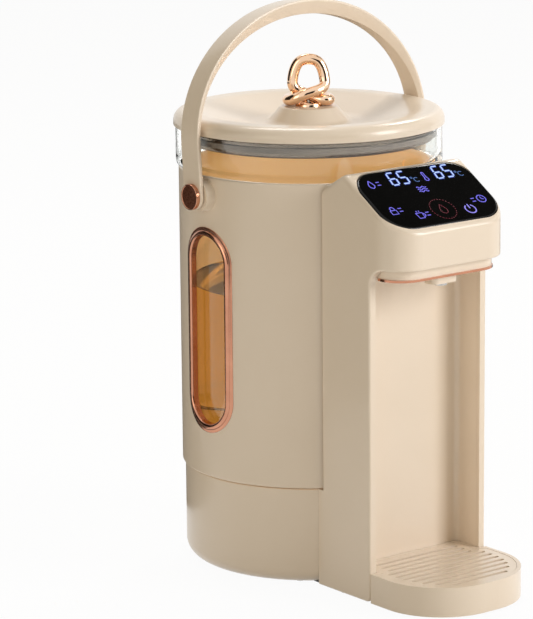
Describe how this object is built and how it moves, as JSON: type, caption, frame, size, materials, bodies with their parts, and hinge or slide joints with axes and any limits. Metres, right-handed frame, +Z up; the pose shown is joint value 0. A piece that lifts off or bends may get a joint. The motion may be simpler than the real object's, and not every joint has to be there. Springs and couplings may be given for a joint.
{
  "type": "hot water dispenser",
  "caption": "Free-standing hot water dispenser: lift-off heated pot with bail handle, lid and glass vessel on a drum base, and a column with touch panel, spout and drip tray.",
  "frame": {"origin": "middle of the overall footprint, on the counter under the feet", "axes": "+Z up, the spout and drip tray face -Y, +X to the right as seen from the front; the pot's axis is parallel to Z at Y = 0.05395 m"},
  "size_m": [0.2304, 0.3151, 0.4342],
  "materials": {
    "cream": "satin moulded plastic, warm cream",
    "copper": "polished rose-gold plating",
    "rivet": "dark copper, semi-gloss",
    "panel_glass": "gloss black glass",
    "glass": "clear, with a warm tint",
    "steel": "brushed",
    "dark_plastic": "matt black",
    "white_plastic": "matt off-white",
    "board": "green solder mask",
    "silicone": "matt translucent",
    "wire": "matt sleeve"
  },
  "bodies": {
    "base": {"base_housing": "cream", "base_plate": "dark_plastic", "feet": "silicone", "plate_screws": "steel", "column_housing": "cream", "column_back": "cream", "recess_panel": "cream", "spout_plate": "cream", "trim_ring": "copper", "spout_nozzle": "steel", "touch_glass": "panel_glass", "display_board": "board", "digit_displays": "dark_plastic", "valve_socket": "white_plastic", "socket_seal": "silicone", "inlet_hose": "silicone", "pump_housing": "white_plastic", "pump_motor": "steel", "pump_bracket": "white_plastic", "bracket_screws": "steel", "outlet_hose": "silicone", "control_board": "board", "board_parts": "dark_plastic", "board_screws": "steel", "power_inlet": "dark_plastic", "inlet_pins": "steel", "coupler_plug": "dark_plastic", "display_cable": "wire", "mains_leads": "wire", "coupler_leads": "wire", "motor_leads": "wire"},
    "pump_rotor": {"pump_rotor": "white_plastic"},
    "drip_tray": {"drip_tray": "cream"},
    "drip_grate": {"drip_grate": "cream"},
    "pot": {"pot_shell": "cream", "glass_vessel": "glass", "window_bezel": "copper", "pot_base_cover": "dark_plastic", "cover_screws": "steel", "heater_plate": "steel", "heater_seal": "silicone", "heater_element": "steel", "thermostat": "dark_plastic", "ntc_probe": "steel", "coupler_socket": "dark_plastic", "pot_leads": "wire", "valve_body": "white_plastic", "valve_nut": "white_plastic", "handle_pins": "rivet", "valve_spring": "steel"},
    "valve_plunger": {"valve_plunger": "white_plastic", "plunger_seal": "silicone"},
    "handle": {"carry_handle": "cream", "handle_arms": "cream"},
    "lid": {"lid_shell": "cream", "lid_liner": "steel", "lid_seal": "silicone", "lid_knob": "copper", "knob_screw": "steel"}
  },
  "joints": [
    {"name": "pot_lift", "type": "slide", "parent": "base", "child": "pot", "axis": [0, 0, 1], "range_m": [0, 0.26]},
    {"name": "valve_drop", "type": "slide", "parent": "pot", "child": "valve_plunger", "axis": [0, 0, 1], "range_m": [-0.004, 0], "deforming": ["valve_spring"]},
    {"name": "lid_lift", "type": "slide", "parent": "pot", "child": "lid", "axis": [0, 0, 1], "range_m": [0, 0.0125]},
    {"name": "handle_swing", "type": "hinge", "parent": "pot", "child": "handle", "pos_m": [0, 0.05395, 0.296], "axis": [1, 0, 0], "range_deg": [-119.7, 72.3]},
    {"name": "tray_pull", "type": "slide", "parent": "base", "child": "drip_tray", "axis": [0, -1, 0], "range_m": [0, 0.09]},
    {"name": "grate_lift", "type": "slide", "parent": "drip_tray", "child": "drip_grate", "axis": [0, 0, 1], "range_m": [0, 0.04]},
    {"name": "pump_spin", "type": "hinge", "parent": "base", "child": "pump_rotor", "pos_m": [-0.032, 0.00795, 0.03], "axis": [0, -1, 0], "continuous": true}
  ],
  "couplings": [
    {"joint": "valve_drop", "follows": "pot_lift", "ratio": -0.015385}
  ]
}
